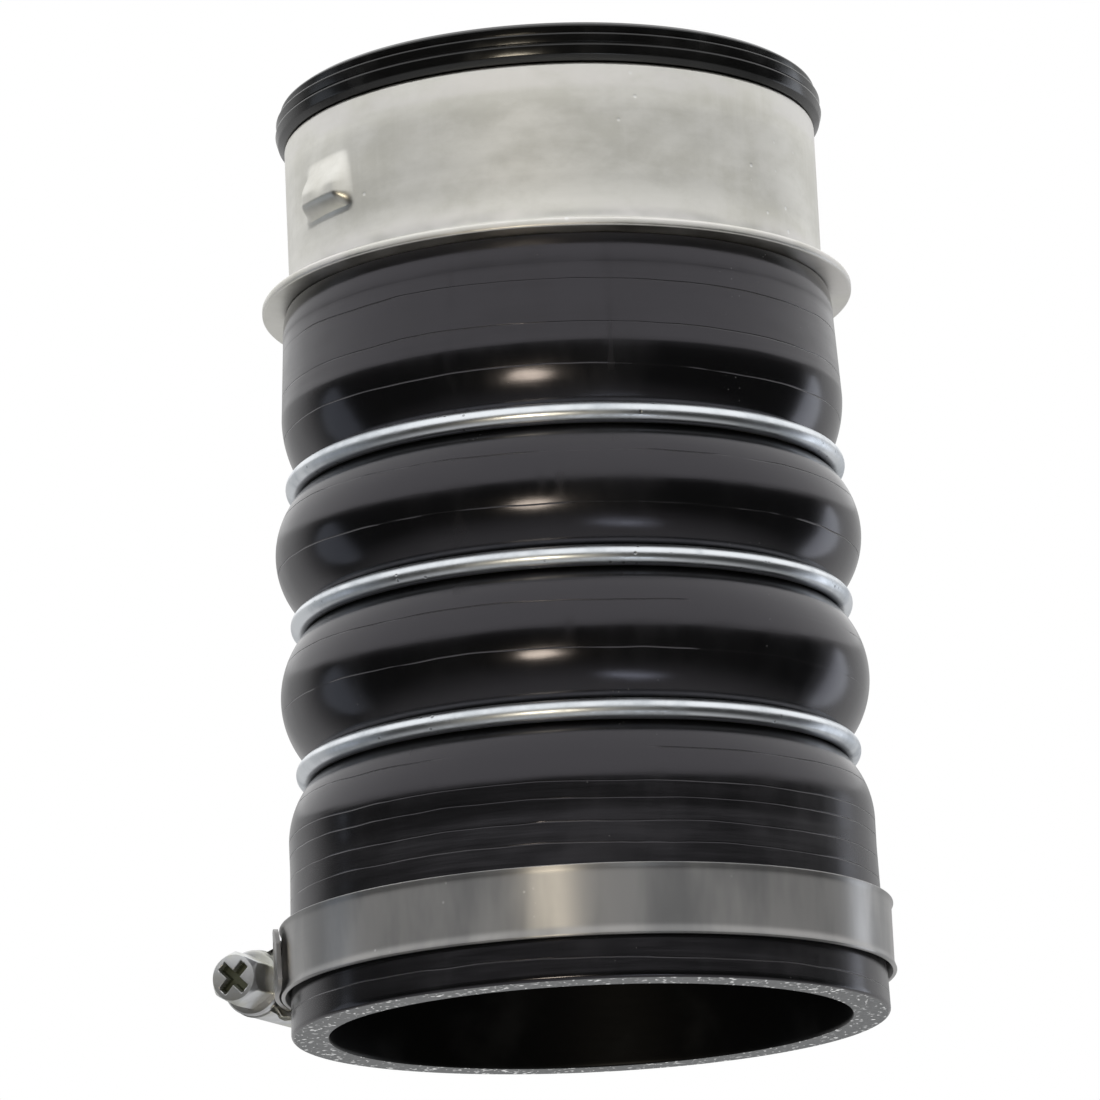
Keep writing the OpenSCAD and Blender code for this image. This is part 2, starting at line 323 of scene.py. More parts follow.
def rubber_cover():
    g = Graph("hose_cover")
    lines = hairlines(g, WRAP_HEIGHTS, 0.12, 0.012)
    smudge = g.steps(g.noise(38, 5, (1, 1, 0.5), 0.65), 0.45, 0.75)
    specks = g.steps(g.cells(900), 0.06, 0.12, 1, 0)
    few = g.math("MULTIPLY", specks, g.steps(g.noise(80, 2), 0.6, 0.68))
    scratches = g.steps(g.noise(220, 2, (1, 1, 0.06), 0.4, 0.2), 0.68, 0.74)
    wrap = g.noise(130, 3, (0.25, 0.25, 3), 0.5)
    colour = g.mix(smudge, grey(0.003, 0.05), grey(0.008, 0.02))
    colour = g.mix(g.math("MULTIPLY", lines, 0.5), colour, grey(0.05))
    colour = g.mix(g.math("MULTIPLY", few, 0.6), colour, grey(0.12))
    gloss = g.math("MULTIPLY_ADD", smudge, 0.12, 0.17)
    gloss = g.math("MULTIPLY_ADD", lines, 0.25, gloss)
    gloss = g.math("MULTIPLY_ADD", g.math("MULTIPLY", scratches, smudge), 0.2, gloss)
    swell = g.bump(wrap, 0.05 * MM, 0.5)
    swell = g.bump(g.noise(55, 2, (1, 1, 1.4)), 0.3 * MM, 0.4, swell)
    normal = g.bump(lines, -0.08 * MM, 0.8, swell)
    return g.finish(
        Base_Color=colour, Roughness=gloss, Normal=normal, IOR=1.58, Specular_Tint=(1.0, 0.96, 1.06, 1)
    )


def cut_face():
    g = Graph("hose_cut_face")
    fibres = g.steps(g.cells(900), 0.2, 0.42, 1, 0)
    spots = g.math("MULTIPLY", fibres, g.steps(g.noise(330, 3), 0.5, 0.6))
    dashes = g.steps(g.noise(1500, 2, (1, 0.4, 1), 0.4), 0.62, 0.7)
    spots = g.math("MAXIMUM", spots, g.math("MULTIPLY", dashes, 0.7))
    grain = g.noise(1400, 3)
    base = g.mix(grain, grey(0.11, 0.03), grey(0.2, 0.03))
    colour = g.mix(spots, base, grey(0.8, 0.01))
    height = g.math("MULTIPLY_ADD", spots, 1.5, grain)
    return g.finish(Base_Color=colour, Roughness=0.75, Normal=g.bump(height, 0.08 * MM, 0.8), IOR=1.4)


def rubber_liner():
    g = Graph("hose_liner")
    weave = g.noise(420, 3, (0.4, 0.4, 1.6))
    dust = g.steps(g.noise(70, 4), 0.5, 0.75)
    colour = g.mix(dust, grey(0.002), grey(0.005))
    return g.finish(
        Base_Color=colour,
        Roughness=g.math("MULTIPLY_ADD", dust, 0.2, 0.4),
        Normal=g.bump(weave, 0.04 * MM, 0.6),
        Specular_IOR_Level=0.15,
    )


def seal_rubber():
    g = Graph("seal_rubber")
    smudge = g.steps(g.noise(120, 4), 0.45, 0.75)
    colour = g.mix(smudge, grey(0.004), grey(0.01))
    return g.finish(
        Base_Color=colour,
        Roughness=g.math("MULTIPLY_ADD", smudge, 0.14, 0.16),
        Normal=g.bump(g.noise(500, 2), 0.02 * MM, 0.5),
        IOR=1.52,
    )


def collar_metal():
    g = Graph("collar_metal")
    marks = g.noise(170, 4, (1, 1, 0.12), 0.6)
    patches = g.noise(62, 5, (1, 1, 1.6), 0.62)
    hoops = g.noise(420, 3, (0.05, 0.05, 1), 0.5, 0.3)
    nicks = g.steps(g.cells(300), 0.05, 0.12, 1, 0)
    nicks = g.math("MULTIPLY", nicks, g.steps(g.noise(70, 2, shift=0.7), 0.55, 0.62))
    # Painted shade: a dark band round the collar just above the flange's fillet, where the corner lies in
    # shade
    corner_shade_low = g.steps(g.z, (FLANGE_Z + 2.2) * MM, (FLANGE_Z + 2.9) * MM)
    corner_shade_high = g.steps(g.z, (FLANGE_Z + 2.9) * MM, (FLANGE_Z + 4.4) * MM, 1, 0)
    corner_shade = g.math("MULTIPLY", corner_shade_low, corner_shade_high)
    corner_shade = g.math("MULTIPLY", corner_shade, g.steps(g.noise(45, 3, (1, 1, 2)), 0.4, 0.6))
    near_flange = g.steps(g.z, (FLANGE_Z + 3.4) * MM, (FLANGE_Z + 6.5) * MM, 1, 0)
    near_seal = g.steps(g.z, (SEAL_Z - 4.5) * MM, (SEAL_Z - 3.2) * MM)
    rubbed = g.math("MAXIMUM", g.math("MULTIPLY", near_flange, 0.7), g.math("MULTIPLY", near_seal, 0.55))
    rubbed = g.math("MULTIPLY", rubbed, g.steps(g.noise(75, 3, (1, 1, 2), 0.5, 0.5), 0.36, 0.6))
    tone = g.mix(g.steps(patches, 0.36, 0.64), (0.68, 0.67, 0.61, 1), (0.85, 0.84, 0.79, 1))
    tone = g.mix(g.math("MULTIPLY", g.steps(marks, 0.48, 0.66), 0.3), tone, (0.88, 0.87, 0.83, 1))
    tone = g.mix(g.math("MULTIPLY", g.steps(hoops, 0.4, 0.62), 0.1), tone, (0.55, 0.54, 0.5, 1))
    # Darkens the tone on that painted shade band above the fillet
    tone = g.mix(g.math("MULTIPLY", corner_shade, 0.55), tone, (0.4, 0.4, 0.39, 1))
    tone = g.mix(rubbed, tone, grey(0.93, -0.02))
    tone = g.mix(g.math("MULTIPLY", nicks, 0.6), tone, grey(1.0))
    rough = g.math("MULTIPLY_ADD", patches, 0.2, 0.28)
    rough = g.math("MULTIPLY_ADD", rubbed, 0.14, rough)
    normal = g.bump(marks, 0.04 * MM, 0.5)
    normal = g.bump(hoops, 0.03 * MM, 0.4, normal)
    normal = g.bump(g.noise(48, 2), 0.5 * MM, 0.45, normal)
    normal = g.bump(nicks, -0.04 * MM, 0.4, normal)
    return g.finish(Base_Color=tone, Metallic=1.0, Roughness=rough, Normal=normal)


def sleeve_metal():
    g = Graph("sleeve_metal")
    hoops = g.noise(300, 3, (0.05, 0.05, 1))
    stains = g.noise(60, 4)
    tone = g.mix(g.steps(stains, 0.4, 0.7), grey(0.42, -0.01), grey(0.56, -0.02))
    rough = g.math("MULTIPLY_ADD", stains, 0.25, 0.26)
    return g.finish(Base_Color=tone, Metallic=0.9, Roughness=rough, Normal=g.bump(hoops, 0.03 * MM, 0.5))


def ring_wire():
    g = Graph("ring_wire")
    pits = g.steps(g.cells(650), 0.08, 0.2, 1, 0)
    pits = g.math("MULTIPLY", pits, g.steps(g.noise(140, 2), 0.5, 0.62))
    patina = g.steps(g.noise(90, 5, roughness=0.65), 0.42, 0.7)
    drawn = g.noise(700, 2, (0.2, 0.2, 1.5))
    tone = g.mix(patina, grey(0.86, 0.04), grey(0.68, 0.06))
    tone = g.mix(g.math("MULTIPLY", pits, 0.6), tone, grey(0.2, 0.05))
    rough = g.math("MULTIPLY_ADD", patina, 0.16, 0.3)
    normal = g.bump(drawn, 0.02 * MM, 0.5)
    normal = g.bump(pits, -0.06 * MM, 0.7, normal)
    return g.finish(Base_Color=tone, Metallic=1.0, Roughness=rough, Normal=normal)


def band_steel():
    g = Graph("band_steel")
    brushed = g.noise(1100, 2, (0.02, 0.02, 1), 0.5)
    smears = g.noise(80, 4, (1, 1, 0.3))
    specks = g.math("MULTIPLY", g.steps(g.cells(500), 0.05, 0.14, 1, 0), g.steps(g.noise(120, 2), 0.55, 0.62))
    tone = g.mix(g.steps(smears, 0.36, 0.64), grey(0.27, 0.0), grey(0.42, -0.02))
    tone = g.mix(g.math("MULTIPLY", specks, 0.5), tone, grey(0.85))
    rough = g.math("MULTIPLY_ADD", g.math("ADD", smears, brushed), 0.08, 0.3)
    normal = g.bump(g.noise(42, 1, (1, 1, 0.1)), 0.35 * MM, 0.4)
    tangent = g.add("ShaderNodeTangent", direction_type="RADIAL", axis="Z").outputs[0]
    return g.finish(
        Base_Color=tone, Metallic=1.0, Roughness=rough, Normal=normal,
        Anisotropic=0.9, Anisotropic_Rotation=0.25, Tangent=tangent,
    )


def zinc_steel():
    g = Graph("zinc_steel")
    cloud = g.noise(260, 4)
    tint = g.steps(g.noise(150, 3, shift=0.3), 0.45, 0.62)
    tone = g.mix(g.steps(cloud, 0.35, 0.65), grey(0.8, 0.02), grey(0.62, 0.01))
    tone = g.mix(g.math("MULTIPLY", tint, 0.35), tone, (0.6, 0.59, 0.42, 1))
    rough = g.math("MULTIPLY_ADD", cloud, 0.2, 0.24)
    return g.finish(
        Base_Color=tone, Metallic=0.97, Roughness=rough, Normal=g.bump(g.noise(700, 3), 0.02 * MM, 0.5)
    )


# Painted shade: a dark colour for the screw head's cross recess, standing in for the shade inside it; its
# olive tint is the plating's own
def zinc_recess_shade():
    g = Graph("zinc_recess_shade")
    tone = g.mix(g.noise(400, 3), (0.05, 0.055, 0.035, 1), (0.16, 0.17, 0.12, 1))
    return g.finish(Base_Color=tone, Metallic=0.7, Roughness=0.55, Normal=g.bump(g.noise(900, 3), 0.04 * MM))


COVER = rubber_cover()
CUT_FACE = cut_face()
LINER = rubber_liner()
SEAL = seal_rubber()
COLLAR = collar_metal()
SLEEVE = sleeve_metal()
WIRE = ring_wire()
BAND = band_steel()
ZINC = zinc_steel()
RECESS_SHADE = zinc_recess_shade()

# ---------------------------------------------------------------- hose


def arc_fall(top, middle_z, arc):
    """Radius, at each height, of an arc that is parallel to the axis at the middle height."""
    return lambda z: top - arc + np.sqrt(np.maximum(arc**2 - (z - middle_z) ** 2, 0))


def touching_arc(top, half):
    """Arc radius of a bulge that touches the ring wire half a pitch away from its middle."""
    drop = top - RING_R
    return (half**2 + drop**2 - WIRE_R**2) / (2 * (drop + WIRE_R))


def bore_arc(top, end, run):
    """Arc radius of a bore that narrows from the top radius to the end radius over the run."""
    return (run**2 + (top - end) ** 2) / (2 * (top - end))


def valley_of(top, half):
    """Radius of a bulge at the height of the ring beside it."""
    arc = touching_arc(top, half)
    return top - arc + math.sqrt(arc**2 - half**2)


def cuff_profile():
    """Heights, outside radii and bore radii from the cut end to the lower ring."""
    edge_r = 0.6
    bend_z = RING_Z[0] - FALL_H
    z = np.concatenate([
        edge_r * (1 - np.cos(np.linspace(0, math.pi / 2, 6))),
        np.linspace(1, bend_z, 40),
        np.linspace(bend_z + 0.3, RING_Z[0], 36),
    ])
    lower = np.minimum(RIM_R + (CUFF_R - RIM_R) * z / CUFF_TOP, RIM_R)
    outside = np.where(z < CUFF_TOP, lower, CUFF_R)
    fall = arc_fall(CUFF_R, bend_z, touching_arc(CUFF_R, FALL_H))
    outside = np.where(z > bend_z, fall(z), outside)
    edge = edge_r - np.sqrt(np.maximum(edge_r**2 - np.minimum(z - edge_r, 0) ** 2, 0))
    bore_end = valley_of(CUFF_R, FALL_H) - VALLEY_WALL
    bore = np.where(z > bend_z, arc_fall(BORE_R, bend_z, bore_arc(BORE_R, bore_end, FALL_H))(z), BORE_R)
    return z, outside - edge, bore + 0.4 * edge


def bulge_profile(low, high):
    """The same between two rings."""
    middle_z, half = (low + high) / 2, (high - low) / 2
    z = middle_z - half * np.cos(np.linspace(0, math.pi, 72))
    bore_top = BULGE_R - BULGE_WALL
    bore_end = valley_of(BULGE_R, half) - VALLEY_WALL
    outside = arc_fall(BULGE_R, middle_z, touching_arc(BULGE_R, half))(z)
    return z, outside, arc_fall(bore_top, middle_z, bore_arc(bore_top, bore_end, half))(z)


def shoulder_profile():
    """The same from the upper ring to the end of the hose's tail inside the collar."""
    bend_z = RING_Z[2] + FALL_H
    cone_z, top_z, tail_z = FLANGE_Z - 4.6, FLANGE_Z - 0.1, SEAL_Z - 1.85
    cone_r, tail_r = SHOULDER_R - 0.6, COLLAR_BORE_R - FIT
    turn_r, turn_h = 0.9, 4.8
    z = np.concatenate([
        np.linspace(RING_Z[2], bend_z, 40),
        np.linspace(bend_z + 0.5, cone_z, 16),
        np.linspace(cone_z + 0.2, top_z, 24),
        np.linspace(top_z + 0.05, tail_z, 16),
    ])
    outside = arc_fall(SHOULDER_R, bend_z, touching_arc(SHOULDER_R, FALL_H))(z)
    cone = SHOULDER_R + (cone_r - SHOULDER_R) * (z - bend_z) / (cone_z - bend_z)
    outside = np.where(z > bend_z, cone, outside)
    turn = cone_r - turn_r * (1 - np.sqrt(1 - np.clip((z - cone_z) / turn_h, 0, 1) ** 2))
    outside = np.where(z > cone_z, turn, outside)
    outside = np.where(z > top_z, tail_r, outside)
    bore_top, bore_end = SHOULDER_R - BULGE_WALL, valley_of(SHOULDER_R, FALL_H) - VALLEY_WALL
    bore = arc_fall(bore_top, bend_z, bore_arc(bore_top, bore_end, FALL_H))(z)
    taper = bore_top + (tail_r - TAIL_WALL - bore_top) * np.clip((z - bend_z) / (cone_z - bend_z), 0, 1)
    return z, outside, np.where(z > bend_z, taper, bore)


def hose_layer(section, layer, profile):
    """One layer of one stretch of the hose; the faces of the cut end show the plies."""
    z, outside, bore = profile
    low, high = LEVELS[layer]
    inner = np.stack([bore + (outside - bore) * low, z], axis=1)
    outer = np.stack([bore + (outside - bore) * high, z], axis=1)
    points, faces = skin(turned(np.concatenate([outer, inner[::-1]])), True)
    surface = {"liner": LINER, "plies": CUT_FACE, "cover": COVER}[layer]
    piece = add_object(f"hose_{section}_{layer}", points, faces, [surface, CUT_FACE])
    for polygon in piece.data.polygons:
        if polygon.center.z < 0.05 * MM:
            polygon.material_index = 1
    return piece


def blend_heights(piece):
    """Bakes the piece's transform into its mesh; the piece follows no body."""
    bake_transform(piece)


def make_hose():
    cuff, shoulder = cuff_profile(), shoulder_profile()
    lower, upper = bulge_profile(RING_Z[0], RING_Z[1]), bulge_profile(RING_Z[1], RING_Z[2])
    for layer in LEVELS:
        piece = hose_layer("cuff", layer, cuff)
        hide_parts(f"cuff_{layer}", f"neck_{layer}")
        blend_heights(piece)
        piece = hose_layer("lower_bulge", layer, lower)
        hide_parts(f"lower_bulge_{layer}")
        blend_heights(piece)
        piece = hose_layer("upper_bulge", layer, upper)
        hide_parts(f"upper_bulge_{layer}")
        blend_heights(piece)
        piece = hose_layer("shoulder", layer, shoulder)
        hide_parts(f"shoulder_{layer}")
        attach(piece, "collar")


def make_rings():
    around = np.linspace(0, 2 * math.pi, 40, endpoint=False)
    bodies = {"lower_ring": "lower_ring", "middle_ring": "middle_ring", "upper_ring": "collar"}
    for (name, body), height in zip(bodies.items(), RING_Z):
        outline = np.stack([RING_R + WIRE_R * np.cos(around), height + WIRE_R * np.sin(around)], axis=1)
        piece = add_object(f"{name}_wire", *skin(turned(outline), True), [WIRE])
        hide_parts(name)
        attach(piece, body)


# ---------------------------------------------------------------- collar, sleeve and seal

LUG_ANGLE = 56
LUG_HALF_W = 6.6
LUG_LOW = FLANGE_Z + 9.6
LUG_H = 8.6
LUG_RISE = 1.85


def ease(t):
    """Smooth step from 0 to 1."""
    t = np.clip(t, 0, 1)
    return t * t * (3 - 2 * t)


def lug_rise(along, height):
    """How far the collar's wall is pressed out, by distance from the lug's middle and from its foot."""
    nose_h, top_h = 2.2, 3.4
    side = ease((LUG_HALF_W - 0.08 * height - np.abs(along)) / 2.5)
    ramp = 1 - ease((height - top_h) / (LUG_H - top_h))
    nose = np.sin(math.pi / 2 * np.clip(height / nose_h, 0, 1))
    dent = 0.2 * np.exp(-((along + 0.8) ** 2) / 1.6 - (height - 4.4) ** 2 / 1.2)
    return side * (LUG_RISE * ramp * nose - dent)


def make_collar():
    """Flanged ring with a step for the seal; the rows of its outer wall are pushed out at the lugs."""
    rim_z, top_z = FLANGE_Z + COLLAR_T, SEAL_Z - FIT
    rows = LUG_LOW + LUG_H * np.linspace(0, 1, 48) ** 1.4
    outline = np.array(rounded([
        (COLLAR_BORE_R, FLANGE_Z, 0.5), (FLANGE_R, FLANGE_Z, 0.35), (FLANGE_R, rim_z, 0.45),
        (COLLAR_R, rim_z, 1.3), (COLLAR_R, LUG_LOW - 1, 0), *[(COLLAR_R, z, 0) for z in rows],
        (COLLAR_R, top_z, 0.7), (SPIGOT_R, top_z, 0.3), (SPIGOT_R, SPIGOT_TOP, 0.2),
        (SPIGOT_R - COLLAR_T, SPIGOT_TOP, 0.2), (SPIGOT_R - COLLAR_T, top_z - COLLAR_T, 0.5),
        (COLLAR_BORE_R, top_z - COLLAR_T, 0.3),
    ]))
    count = 960
    view = 270 - 360 * np.arange(count) / count
    along = np.radians((view - LUG_ANGLE + 90) % 180 - 90) * COLLAR_R
    over_foot = outline[:, 1] - LUG_LOW
    on_wall = (outline[:, 0] > COLLAR_R - 0.01) & (over_foot >= 0) & (over_foot <= LUG_H)
    rings = np.array(turned(outline, count))
    push = lug_rise(along[:, None], over_foot[None, :]) * on_wall
    rings[:, :, :2] *= 1 + push[:, :, None] / COLLAR_R
    points, faces = skin(rings, True)
    piece = add_object("collar_body", points, faces, [COLLAR], 60)
    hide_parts("collar")
    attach(piece, "collar")


def make_sleeve():
    """Tube that holds the hose's tail against the collar and is rolled outwards over the spigot."""
    wall = 1.2
    bore_r = COLLAR_BORE_R - FIT - TAIL_WALL - FIT - wall
    flare_r = SPIGOT_R - COLLAR_T - 0.1
    fold_z = SPIGOT_TOP + FIT
    outline = rounded([
        (bore_r, SLEEVE_LOW, 0.3), (bore_r + wall, SLEEVE_LOW, 0.3), (bore_r + wall, SEAL_Z - 1.65, 1),
        (flare_r, SEAL_Z + 0.35, 1), (flare_r, fold_z, 0.1), (SPIGOT_R, fold_z, 0.25),
        (SPIGOT_R, SLEEVE_TOP, 0.25), (flare_r - wall, SLEEVE_TOP, 0.55),
        (flare_r - wall, SEAL_Z + 0.75, 1.5), (bore_r, SEAL_Z - 1.25, 1.5),
    ])
    piece = add_object("inner_sleeve_tube", *skin(turned(outline), True), [SLEEVE])
    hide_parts("inner_sleeve")
    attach(piece, "collar")


def make_seal():
    """Three ridges, each smaller than the one below, and a lip that turns in over the sleeve."""
    seat_r, z, r = SPIGOT_R + FIT, SEAL_Z, SEAL_R
    lip_z = SLEEVE_TOP + 0.1
    outline = rounded([
        (seat_r, z, 0.1), (COLLAR_R + FIT, z, 0.2), (r - 0.4, z + 0.7, 0.6), (r, z + 2.15, 0.3),
        (r - 0.7, z + 2.4, 0.1), (r - 0.45, z + 2.6, 0.15), (r - 0.15, z + 3.8, 0.25),
        (r - 1.1, z + 4.05, 0.1), (r - 1, z + 4.25, 0.15), (r - 0.8, z + 5.2, 0.35),
        (r - 1.6, SEAL_TOP - 0.2, 0.3), (r - 3.9, SEAL_TOP, 0.3), (r - 4.3, SEAL_TOP - 0.3, 0.2),
        (r - 4.3, lip_z, 0.1), (seat_r, lip_z, 0),
    ])
    piece = add_object("profile_seal_ring", *skin(turned(outline), True), [SEAL])
    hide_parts("profile_seal")
    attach(piece, "collar")


# ---------------------------------------------------------------- clamp

SCREW_ANGLE = 115
SCREW_HEAD = -Vector(SCREW["axis"])
SCREW_POS = Vector(SCREW["pos_m"]) / MM
SCREW_OUT = Vector((SCREW_POS.x, SCREW_POS.y, 0)).normalized()
SCREW_SIDE = SCREW_HEAD.cross(SCREW_OUT)
BAND_Z = (BAND_LOW + BAND_HIGH) / 2
HOUSING_H = 17
HEAD_Z = HOUSING_H / 2 + 0.2
WASHER_H = 1.3
HEAD_H = 5.6
HEX_W = 7
SCREW_PITCH = 2.5


def at_screw(points):
    """Points with x away from the hose, y across the screw and z towards its head, moved to the screw."""
    points = np.asarray(points, float)
    base = np.array([SCREW_OUT, SCREW_SIDE, SCREW_HEAD])
    return points @ base + np.array(SCREW_POS)


def place_on_circle(outline, view_angle, radius_shift):
    """Outline of (radius, height) stood up at that many degrees clockwise from the viewer's side."""
    a = math.radians(270 - view_angle)
    r = outline[:, 0] + radius_shift
    return np.stack([r * math.cos(a), r * math.sin(a), outline[:, 1]], axis=1)


def band_section(lip):
    """Closed outline of the band across its width, with both edges turned out by the share lip."""
    lip_rise, lip_low_w, lip_high_w, lip_spread = 0.35, 1.3, 0.8, 0.06
    inner, outer = BAND_BORE_R, BAND_BORE_R + BAND_T
    flat = [
        (inner, BAND_LOW, 0.15), (outer, BAND_LOW, 0.3), (outer, BAND_HIGH, 0.25), (inner, BAND_HIGH, 0.15),
    ]
    outline = np.array(divided(rounded(flat), 0.35))
    from_low, from_high = outline[:, 1] - BAND_LOW, BAND_HIGH - outline[:, 1]
    outline[:, 0] += lip_rise * lip * (2 - ease(from_low / lip_low_w) - ease(from_high / lip_high_w))
    outline[:, 1] = BAND_Z + (outline[:, 1] - BAND_Z) * (1 - lip_spread + lip_spread * lip)
    return outline


def make_band():
    """One strip that runs round the hose and then climbs over its own fixed end."""
    fixed_end, climb_start, climb_end, last = SCREW_ANGLE + 13, 152, 131, SCREW_ANGLE + 4.5
    angles = np.concatenate([
        np.linspace(fixed_end, climb_start - 360, 330), np.linspace(climb_start - 361, last - 360, 60),
    ])
    rings = []
    plain, lipped = band_section(0), band_section(1)
    for angle in angles:
        climb = float(ease((climb_start - 360 - angle) / (climb_start - climb_end)))
        outline = lipped + climb * (plain - lipped)
        rings.append(place_on_circle(outline, angle, climb * (STRAP_R - BAND_BORE_R)))
    piece = add_object("clamp_band_strip", *skin(rings, False), [BAND])
    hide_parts("clamp_band")
    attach(piece, "cuff")


def make_tail():
    """Free end of the band: a strip with tilted slots, laid out flat and wrapped round the hose."""
    half_w, slot_half, slot_w, tilt = 4.7, 2.8, 1.1, math.tan(math.radians(9))
    tongue_sweep, tongue_w = 3.6, 0.45
    front, back = 79, SCREW_ANGLE
    to_degrees = 180 / math.pi / STRAP_R
    cuts = [front + 0.4, front + 1.2, front + 2.4]
    slots = []
    start = front + 4
    while start + slot_w * to_degrees < back - 1:
        cuts += [start - slot_w / 2 * to_degrees, start, start + slot_w / 2 * to_degrees]
        slots += [len(cuts) - 3, len(cuts) - 2]
        start += SCREW_PITCH * to_degrees
    cuts = [front] + cuts + [back]
    rows = [-half_w, -slot_half, slot_half, half_w]
    points, faces = [], []
    for layer_r in (STRAP_R, STRAP_R + BAND_T):
        for k, cut in enumerate(cuts):
            for row in rows:
                lean = 0 if k in (0, len(cuts) - 1) else row * tilt * to_degrees
                from_end = min(1, (cut - front) / tongue_sweep)
                z = BAND_Z + row * (tongue_w + (1 - tongue_w) * math.sqrt(1 - (1 - from_end) ** 2))
                a = math.radians(270 - cut - lean)
                points.append((layer_r * math.cos(a), layer_r * math.sin(a), z))
    columns, height = len(cuts), len(rows)

    def corner(layer, k, j):
        return (layer * columns + k) * height + j

    solid = {
        (k, j) for k in range(columns - 1) for j in range(height - 1) if not (j == 1 and k - 1 in slots)
    }
    for k, j in solid:
        square = [(k, j), (k + 1, j), (k + 1, j + 1), (k, j + 1)]
        for layer in (0, 1):
            faces.append([corner(layer, *c) for c in square])
        sides = {(k, j - 1): (0, 1), (k + 1, j): (1, 2), (k, j + 1): (2, 3), (k - 1, j): (3, 0)}
        for beside, (a, b) in sides.items():
            if beside not in solid:
                faces.append([corner(l, *square[i]) for l, i in ((0, a), (0, b), (1, b), (1, a))])
    piece = add_object("clamp_tail_strip", points, faces, [BAND])
    soften(piece)
    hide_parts("clamp_tail")
    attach(piece, "clamp_tail")


def soften(piece):
    """Rounds the piece's hard edges."""
    bevel = piece.modifiers.new("rounded_edges", "BEVEL")
    bevel.width = 0.12 * MM
    bevel.segments = 3
    bevel.angle_limit = math.radians(35)


def make_saddle():
    """Thin plate that lies on the band, between its lips, inside the housing."""
    half_sweep = 10.5
    low, high, inner = BAND_LOW + 1.35, BAND_HIGH - 0.75, BAND_BORE_R + BAND_T + 0.02
    outer = inner + 0.41
    outline = np.array(rounded([(inner, low, 0), (outer, low, 0.12), (outer, high, 0.12), (inner, high, 0)]))
    angles = np.linspace(SCREW_ANGLE - half_sweep, SCREW_ANGLE + half_sweep, 30)
    rings = [place_on_circle(outline, angle, 0) for angle in angles]
    piece = add_object("clamp_saddle_plate", *skin(rings, False), [BAND])
    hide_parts("clamp_saddle")
    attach(piece, "cuff")


def make_housing():
    """Pressed sheet that runs up one side of the band, over the screw and down the other."""
    wall, tunnel_r, half_w = 0.6, 4.3, 5.55
    flare_start, flare = 0.86, 0.021
    screw_r = math.hypot(SCREW_POS.x, SCREW_POS.y)
    neck_x = STRAP_R + BAND_T + 0.5 - screw_r
    foot_x = BAND_BORE_R - 0.2 - screw_r
    dome_start = math.radians(128)
    middle_line = [(foot_x, -half_w), (neck_x - 0.6, -half_w), (neck_x + 0.1, -half_w + 0.35)]
    for a in np.linspace(-dome_start, dome_start, 40):
        middle_line.append(((tunnel_r + wall / 2) * math.cos(a), (tunnel_r + wall / 2) * math.sin(a)))
    middle_line += [(x, -y) for x, y in reversed(middle_line[:3])]
    line = np.array(middle_line)
    along = np.gradient(line, axis=0)
    along /= np.linalg.norm(along, axis=1)[:, None]
    across = np.stack([along[:, 1], -along[:, 0]], axis=1) * wall / 2
    outline = np.concatenate([line + across, (line - across)[::-1]])
    rings = []
    for share in np.linspace(-1, 1, 25):
        ring = np.concatenate([outline, np.full((len(outline), 1), share * HOUSING_H / 2)], axis=1)
        ring[:, 1] *= 1 + flare * max(0, abs(share) - flare_start) / (1 - flare_start)
        rings.append(at_screw(ring))
    piece = add_object("clamp_housing_shell", *skin(rings, False), [ZINC], 50)
    soften(piece)
    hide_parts("clamp_housing")
    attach(piece, "cuff")


def hexagon_radius(angle, across):
    """Distance from the middle to the side of a hexagon with slightly rounded corners."""
    turn = (angle + math.pi / 6) % (math.pi / 3) - math.pi / 6
    return min(across / 2 / math.cos(turn), across / 2 / math.cos(math.pi / 6) * 0.985)


def recess_depth(x, y):
    """Depth of the cross recess below the head's face."""
    arm_length, arm_half_w, deepest = 2.35, 0.5, 1.6
    turned_x, turned_y = (x + y) / math.sqrt(2), (y - x) / math.sqrt(2)
    depth = 0.0
    for along, across in ((turned_x, turned_y), (turned_y, turned_x)):
        end = 1 - float(ease((abs(along) - arm_length) / 0.35))
        side = 1 - float(ease((abs(across) - arm_half_w) / 0.3))
        depth = max(depth, deepest * end * side)
    return depth


